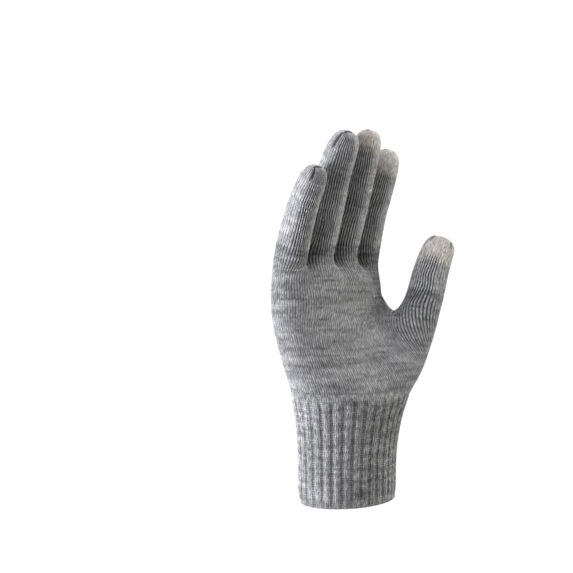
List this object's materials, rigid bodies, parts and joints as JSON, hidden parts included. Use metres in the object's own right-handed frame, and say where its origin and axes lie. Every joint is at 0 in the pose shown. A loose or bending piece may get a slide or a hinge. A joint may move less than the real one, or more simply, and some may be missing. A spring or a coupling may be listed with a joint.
{
  "type": "knit glove",
  "caption": "Knitted glove with a ribbed cuff, worn shape, open at the wrist, with a stall for each finger and pale yarn on the tips that touch a screen.",
  "frame": {"origin": "middle of the wrist opening", "axes": "+Z from the wrist opening towards the fingertips, -Y the way the palm faces, +X the thumb's side"},
  "size_m": [0.1217, 0.0666, 0.2379],
  "materials": {
    "grey_knit": "heather grey plain knit",
    "rib_knit": "heather grey ribbed knit",
    "touch_knit": "pale beige-grey plain knit"
  },
  "bodies": {
    "root": {"cuff": "rib_knit", "palm": "grey_knit", "little_finger": "grey_knit", "ring_finger": "grey_knit", "middle_finger": "grey_knit", "middle_tip": "touch_knit", "index_finger": "grey_knit", "index_tip": "touch_knit", "thumb": "grey_knit", "thumb_tip": "touch_knit"}
  },
  "joints": []
}
